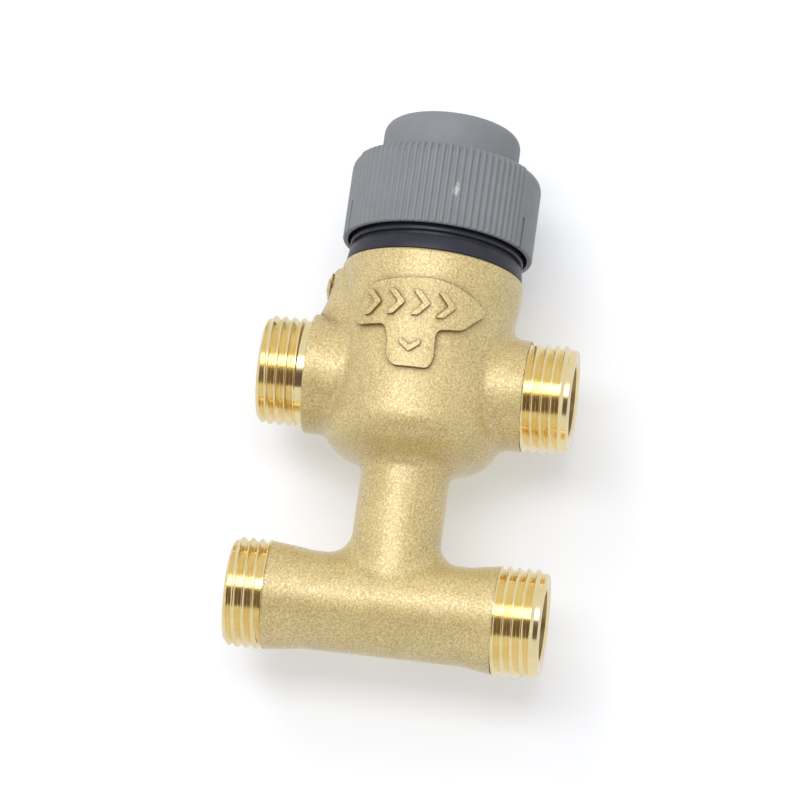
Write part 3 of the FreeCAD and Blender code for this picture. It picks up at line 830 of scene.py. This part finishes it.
@dataclass
class HandCap:
    """Grey cap with a row of ribs front and back, smooth sides, two slits and a smooth crown.

    The hem is pairs of a height over the foot and how far the skirt is drawn in there.
    """

    foot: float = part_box("hand_cap")[0].z / MM
    top: float = 87.9
    skirt: float = 18.4
    skirt_inner: float = 17.45
    skirt_round: float = 2.8
    hem: tuple[Point, ...] = ((0.0, 0.25), (0.1, 0.08), (0.3, 0.0))
    recess_top: float = 77.7
    thread: float = 15.06
    ceiling: float = 85.9
    crown: float = 13.3
    crown_top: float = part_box("hand_cap")[1].z / MM
    crown_round: float = 2.6
    crown_foot_round: float = 0.7
    crown_inner: float = 11.3
    crown_wall: float = 2.0
    crown_ring: float = 5.0
    pusher: float = 4.0
    pusher_foot: float = 83.3
    ribs: int = 84
    row: int = 29
    steps_per_rib: int = 12
    rib_height: float = 0.36
    groove_share: float = 0.25
    flank_share: float = 0.5
    rib_brow: float = 0.62
    smooth_brow: float = 0.85
    slit_angle: float = 65.0
    slit_width: float = 0.6
    slit_top: float = 77.5
    slit_edge: float = 0.05
    margin: float = 0.01

    def __post_init__(self) -> None:
        """Work out where the shoulder's round starts."""
        self.brow_foot = self.top - self.skirt_round
        self.brow_middle = self.skirt - self.skirt_round

    def arc(self, middle: Point, size: float, count: int, first: float, last: float) -> list[Point]:
        """Return points on an arc of the profile.

        Args:
            middle: height and radius of its centre.
            size: its radius.
            count: steps.
            first: angle of its start from the radial direction, in degrees.
            last: angle of its end.

        Returns:
            Pairs of height and radius.
        """
        angles = [math.radians(first + (last - first) * index / count) for index in range(count + 1)]
        return [(middle[0] + size * math.sin(angle), middle[1] + size * math.cos(angle)) for angle in angles]

    def profile(self) -> list[Point]:
        """Return the cap's outline from the pusher's foot round to the crown's top."""
        inner_top = self.crown_top - self.crown_wall
        inside = [(self.pusher_foot, 0.0), (self.pusher_foot, self.pusher), (inner_top, self.pusher),
                  (inner_top, self.crown_inner), (self.ceiling, self.crown_inner),
                  (self.ceiling, self.thread), (self.recess_top, self.thread),
                  (self.recess_top, self.skirt_inner), (self.foot, self.skirt_inner)]
        wall = [(self.foot + up, self.skirt - inset) for up, inset in self.hem]
        wall += [(self.slit_top - self.slit_edge, self.skirt), (self.slit_top + self.slit_edge, self.skirt)]
        brow = self.arc((self.brow_foot, self.brow_middle), self.skirt_round, 14, 0.0, 90.0)
        cove = (self.top + self.crown_foot_round, self.crown + self.crown_foot_round)
        foot = self.arc(cove, self.crown_foot_round, 5, 270.0, 180.0)
        dome = (self.crown_top - self.crown_round, self.crown - self.crown_round)
        head = self.arc(dome, self.crown_round, 12, 0.0, 90.0)
        lid = [(self.crown_top, self.crown_ring), (self.crown_top, 0.0)]
        return inside + wall + brow + foot + head + lid

    def on_skirt(self, height: float, radius: float) -> bool:
        """Return whether a place of the profile is on the skirt's outside or on its round shoulder.

        Args:
            height: its height.
            radius: its radius.

        Returns:
            True on the outside, between the foot and the crown.
        """
        inner = self.brow_middle if height >= self.brow_foot else self.skirt_inner
        return height < self.top + self.margin and radius > inner + self.margin

    def ribbed(self, turned: float) -> bool:
        """Return whether an angle from the front, in degrees, is within a row of ribs."""
        return abs((turned + 90.0) % 180.0 - 90.0) < 180.0 * self.row / self.ribs

    def rib(self, turned: float) -> float:
        """Return how much of a rib stands at an angle.

        Args:
            turned: angle from the front, in degrees.

        Returns:
            0 in a groove to 1 on a rib, and 1 on the smooth sides.
        """
        if not self.ribbed(turned):
            return 1.0
        aside = abs((turned + 90.0) % 180.0 - 90.0) * self.ribs / 360.0
        share = 2.0 * abs((aside + 0.5) % 1.0 - 0.5)
        edge = min(1.0, max(0.0, (share - self.groove_share) / self.flank_share))
        return edge * edge * (3.0 - 2.0 * edge)

    def pressed(self, height: float, radius: float, turned: float) -> Point:
        """Return where a place of the skirt goes when the grooves and the slits are pressed in.

        Args:
            height: its height.
            radius: its radius.
            turned: its angle from the front, in degrees.

        Returns:
            The new height and radius.
        """
        rib = self.rib(turned)
        out = (radius - self.brow_middle) / self.skirt_round
        up = (height - self.brow_foot) / self.skirt_round
        if up > 0.0:
            drawn = rib if self.ribbed(turned) else 0.0
            power = self.smooth_brow + (self.rib_brow - self.smooth_brow) * drawn
            radius = self.brow_middle + self.skirt_round * min(1.0, out ** power)
            height = self.brow_foot + self.skirt_round * min(1.0, up ** power)
        radius -= self.rib_height * (1.0 - rib) * min(1.0, out * 2.0)
        aside = math.radians(abs(abs(turned) - self.slit_angle)) * self.skirt
        if aside < self.slit_width / 2 and height < self.slit_top:
            radius = self.skirt_inner + self.slit_edge
        return height, radius

    def build(self, material: Material) -> Piece:
        """Spin the cap and press its ribs and slits.

        Args:
            material: finish of the cap.

        Returns:
            The finished piece.
        """
        bm = spun(self.profile(), AXIS_Z, self.ribs * self.steps_per_rib, closed=False)
        for vert in bm.verts:
            height, radius = vert.co.z / MM, vert.co.xy.length / MM
            if self.on_skirt(height, radius):
                turned = math.degrees(math.atan2(vert.co.x, -vert.co.y))
                outwards = Vector((vert.co.x, vert.co.y, 0)).normalized()
                height, radius = self.pressed(height, radius, turned)
                vert.co = (outwards * radius + AXIS_Z * height) * MM
        piece = make_piece("cap_shell", bm, material, "cap", 50.0)
        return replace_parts(piece, "hand_cap")


@dataclass
class Collar:
    """Navy-black ring between the casting and the cap; its outlines are heights over the foot and radii."""

    foot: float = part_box("neck_collar")[0].z / MM
    outside: tuple[Point, ...] = (
        (0.0, 17.15), (3.0, 16.7), (3.0, 16.0), (3.8, 16.0), (3.8, 16.8), (4.7, 16.8), (4.7, 16.4),
        (6.0, 16.4),
    )
    inside: tuple[Point, ...] = ((6.0, 15.3), (3.4, 15.3), (3.4, 14.3), (0.0, 14.3))
    groove: float = 16.2
    rounding: float = 0.2
    corner: float = 25.0
    steps: int = 168

    def build(self, material: Material) -> Piece:
        """Spin the ring and round its outer edges.

        Args:
            material: finish of the ring.

        Returns:
            The finished piece.
        """
        profile = [(self.foot + up, radius) for up, radius in self.outside + self.inside]
        bm = spun(profile, AXIS_Z, self.steps)
        rings = [edge for edge in bm.edges
                 if abs(edge.verts[0].co.z - edge.verts[1].co.z) < HAIR * MM
                 and edge.calc_face_angle(0.0) > math.radians(self.corner)
                 and min(vert.co.xy.length for vert in edge.verts) > self.groove * MM]
        bmesh.ops.bevel(bm, geom=rings, offset=self.rounding * MM, affect="EDGES", segments=3, profile=0.5,
                        material=-1)
        piece = make_piece("collar_ring", bm, material, "valve", 40.0)
        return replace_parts(piece, "neck_collar")


@dataclass
class ReturnSpring:
    """Coil under the stem's cup, wound once to the CAD coil's length; the real one shortens as the stem is
    pressed.
    """

    node: str = "return_spring"
    joint: str = "stem_travel"
    wire: float = 1.1
    pitch: float = 2.9
    sides: int = 16
    steps_per_turn: int = 48

    def build(self, material: Material) -> Piece:
        """Wind the wire from the foot of the CAD coil to its top.

        Args:
            material: finish of the wire.

        Returns:
            The finished piece.
        """
        low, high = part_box(self.node)
        radius = self.wire / 2 * MM
        rise = high.z - low.z - 2 * radius
        turns = rise / (self.pitch * MM)
        steps = round(turns * self.steps_per_turn)
        place = Matrix.Translation((high.x - radius, 0, low.z + radius))
        start = place @ Matrix.Rotation(math.pi / 2, 4, "X")
        bm = bmesh.new()
        bmesh.ops.create_circle(bm, segments=self.sides, radius=radius, matrix=start)
        bmesh.ops.spin(bm, geom=bm.verts[:] + bm.edges[:], cent=(0, 0, 0), axis=AXIS_Z,
                       dvec=(0, 0, rise / steps), angle=turns * math.tau, steps=steps)
        bmesh.ops.holes_fill(bm, edges=bm.edges)
        bmesh.ops.recalc_face_normals(bm, faces=bm.faces)
        piece = make_piece("spring_coil", bm, material, "valve", 60.0)
        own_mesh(piece)
        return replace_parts(piece, self.node)


@dataclass
class InnerPieces:
    """Pieces that keep their CAD shape."""

    brass: tuple[str, ...] = ("seat_cage", "bonnet", "gland_nut", "plug")
    steel: tuple[str, ...] = ("spring_washer", "spring_cup", "retaining_clip", "stem", "plug_washer",
                              "plug_nut")
    rubber: tuple[str, ...] = ("cage_seal", "bonnet_seal", "upper_stem_seal", "lower_stem_seal",
                               "plug_upper_seal", "plug_lower_seal")
    plastic: tuple[str, ...] = ("packing_spacer", "guide_bush")

    def dress(self, steel: Material) -> None:
        """Give each inner node the finish of its material.

        Args:
            steel: finish of the steel nodes.
        """
        finishes = ((INNER_BRASS.material(), self.brass), (steel, self.steel),
                    (RUBBER.material(), self.rubber), (NATURAL.material(), self.plastic))
        for material, nodes in finishes:
            for node in nodes:
                mesh = frame["nodes"][node].data
                mesh.materials.clear()
                mesh.materials.append(material)
                LOG.info("%s: dressed in %s", node, material.name)


@dataclass(frozen=True)
class Lamp:
    """A soft rectangular lamp; the power is in watts."""

    name: str
    place: Vector
    width: float
    height: float
    power: float
    mirrored: bool = False

    def hang(self, target: Vector) -> None:
        """Put the lamp up, shining at a point.

        Args:
            target: the point.
        """
        light = bpy.data.lights.new(self.name, "AREA")
        light.shape = "RECTANGLE"
        light.size, light.size_y = self.width, self.height
        light.energy = self.power
        lamp = bpy.data.objects.new(self.name, light)
        lamp.location = self.place
        lamp.rotation_mode = "QUATERNION"
        lamp.rotation_quaternion = (target - self.place).to_track_quat("-Z", "Y")
        lamp.visible_glossy = self.mirrored
        bpy.context.scene.collection.objects.link(lamp)


@dataclass(frozen=True)
class Sheet:
    """A flat sheet of the stage."""

    name: str
    place: Vector
    facing: Vector
    width: float
    height: float

    def stand(self, material: Material) -> Piece:
        """Put the sheet up, unseen by the light that falls on the object.

        Args:
            material: its finish.

        Returns:
            The new object.
        """
        turn = self.facing.to_track_quat("Z", "Y").to_matrix().to_4x4()
        size = Matrix.Diagonal((self.width / 2, self.height / 2, 1.0, 1.0))
        bm = bmesh.new()
        bmesh.ops.create_grid(bm, x_segments=1, y_segments=1, size=1.0,
                              matrix=Matrix.Translation(self.place) @ turn @ size)
        mesh = bpy.data.meshes.new(self.name)
        bm.to_mesh(mesh)
        bm.free()
        mesh.materials.append(material)
        sheet = bpy.data.objects.new(self.name, mesh)
        bpy.context.scene.collection.objects.link(sheet)
        sheet.visible_diffuse = False
        sheet.visible_shadow = False
        return sheet


@dataclass
class Studio:
    """Camera, soft light and plain pale surroundings."""

    target: Vector = Vector((-0.00312, 0.0, 0.041))
    azimuth: float = 7.1
    elevation: float = -15.7
    roll: float = 8.06
    distance: float = 0.94
    lens: float = 220.8
    sensor: float = 36.0
    clip: Point = (0.01, 20.0)
    fade: Point = (0.115, 0.30)
    sky: Colour = (0.98, 0.99, 1.0)
    sky_strength: float = 0.84
    paper: Colour = (0.62, 0.625, 0.645)
    paper_glow: float = 0.275
    card: Colour = (0.12, 0.075, 0.06)
    lamps: tuple[Lamp, ...] = (
        Lamp("front", Vector((-0.12, -0.95, 0.18)), 0.85, 0.34, 4.1, mirrored=True),
        Lamp("key", Vector((-0.50, -0.75, 0.75)), 0.50, 0.50, 3.0),
        Lamp("back", Vector((0.35, 0.90, 0.55)), 0.50, 0.50, 3.0),
    )
    papers: tuple[Sheet, ...] = (
        Sheet("backdrop", Vector((0.0, 0.0185, 0.042)), Vector((0, -1, 0)), 3.0, 3.0),
        Sheet("floor", Vector((0.0, 0.0, -0.0106)), Vector((0, 0, 1)), 3.0, 3.0),
    )
    shade: Sheet = Sheet("shade_card", Vector((0.0, -0.50, -0.27)), Vector((0, 1, 0)), 0.9, 0.48)

    def camera(self) -> None:
        """Place the camera at the photograph's angle."""
        turned, raised = math.radians(self.azimuth), math.radians(self.elevation)
        back = Vector((math.sin(turned) * math.cos(raised), -math.cos(turned) * math.cos(raised),
                       math.sin(raised)))
        lens = bpy.data.cameras.new("camera")
        lens.sensor_width, lens.lens = self.sensor, self.lens
        lens.clip_start, lens.clip_end = self.clip
        camera = bpy.data.objects.new("camera", lens)
        camera.rotation_mode = "QUATERNION"
        camera.location = self.target + back * self.distance
        tilt = Quaternion((0, 0, 1), math.radians(self.roll))
        camera.rotation_quaternion = (-back).to_track_quat("-Z", "Y") @ tilt
        bpy.context.scene.collection.objects.link(camera)
        bpy.context.scene.camera = camera

    def world(self) -> None:
        """Light evenly from all round, and show white behind the object."""
        world = bpy.data.worlds.new("studio")
        world.use_nodes = True
        bpy.context.scene.world = world
        nodes, links = world.node_tree.nodes, world.node_tree.links
        soft = nodes["Background"]
        soft.inputs["Color"].default_value = (*self.sky, 1.0)
        soft.inputs["Strength"].default_value = self.sky_strength
        white = nodes.new("ShaderNodeBackground")
        white.inputs["Color"].default_value = (1.0, 1.0, 1.0, 1.0)
        mix = nodes.new("ShaderNodeMixShader")
        links.new(nodes.new("ShaderNodeLightPath").outputs["Is Camera Ray"], mix.inputs[0])
        links.new(soft.outputs[0], mix.inputs[1])
        links.new(white.outputs[0], mix.inputs[2])
        links.new(mix.outputs[0], nodes["World Output"].inputs["Surface"])

    def pale_paper(self) -> Material:
        """Return paper that keeps the object's shadow, fades out round it and is clear from behind."""
        tree = ShaderTree("pale_paper")
        nodes, links = tree.nodes, tree.links
        nodes.remove(tree.shader)
        paint = nodes.new("ShaderNodeBsdfDiffuse")
        paint.inputs["Color"].default_value = (*self.paper, 1.0)
        glow = nodes.new("ShaderNodeEmission")
        glow.inputs["Strength"].default_value = self.paper_glow
        lit = nodes.new("ShaderNodeAddShader")
        links.new(paint.outputs[0], lit.inputs[0])
        links.new(glow.outputs[0], lit.inputs[1])
        reach = tree.length(tree.stretched(Vector((1.0, 1.0, 1.0)), self.target))
        behind = nodes.new("ShaderNodeNewGeometry").outputs["Backfacing"]
        hidden = tree.combined("MAXIMUM", tree.spread(reach, self.fade, (0.0, 1.0)), behind)
        mix = nodes.new("ShaderNodeMixShader")
        links.new(hidden, mix.inputs[0])
        links.new(lit.outputs[0], mix.inputs[1])
        links.new(nodes.new("ShaderNodeBsdfTransparent").outputs[0], mix.inputs[2])
        links.new(mix.outputs[0], nodes["Material Output"].inputs["Surface"])
        return tree.material

    def dark_card(self) -> Material:
        """Return the brown card that shows as the dark band in the bright threads."""
        card = bpy.data.materials.new("dark_card")
        card.use_nodes = True
        card.node_tree.nodes["Principled BSDF"].inputs["Base Color"].default_value = (*self.card, 1.0)
        return card

    def set_up(self) -> None:
        """Build the whole studio."""
        self.camera()
        self.world()
        for lamp in self.lamps:
            lamp.hang(self.target)
        paper = self.pale_paper()
        for sheet in self.papers:
            sheet.stand(paper).visible_glossy = False
        self.shade.stand(self.dark_card()).visible_camera = False


def main() -> None:
    """Build the valve's pieces in order, then the studio."""
    logging.basicConfig(level=logging.INFO, format="%(message)s")
    # The third finish is brass painted dark as the shade in the bores and waterways.
    cast, bright, dull_and_painted_shade, steel = (finish.material() for finish in (CAST, PORT_BRASS, PAINTED_SHADE_BORE_BRASS, STEEL))
    Casting().build(cast, dull_and_painted_shade)
    FlowSign().build(cast)
    for port in (
        ThreadedPort("thread_upper_left", -1, PORT_AXIS, PortEnd.CHAMFER, -26.45, band=1.5),
        ThreadedPort("thread_upper_right", 1, PORT_AXIS, PortEnd.PILOT, 24.46),
        ThreadedPort("thread_lower_left", -1, 0.0, PortEnd.CHAMFER, -26.4, root=22.75),
        ThreadedPort("thread_lower_right", 1, 0.0, PortEnd.PILOT, 26.5),
    ):
        port.build(bright, dull_and_painted_shade)
    HandCap().build(GREY.material())
    Collar().build(NAVY.material())
    ReturnSpring().build(steel)
    InnerPieces().dress(steel)
    Studio().set_up()
    bpy.context.scene.view_settings.view_transform = "Standard"


if __name__ == "__main__":
    main()
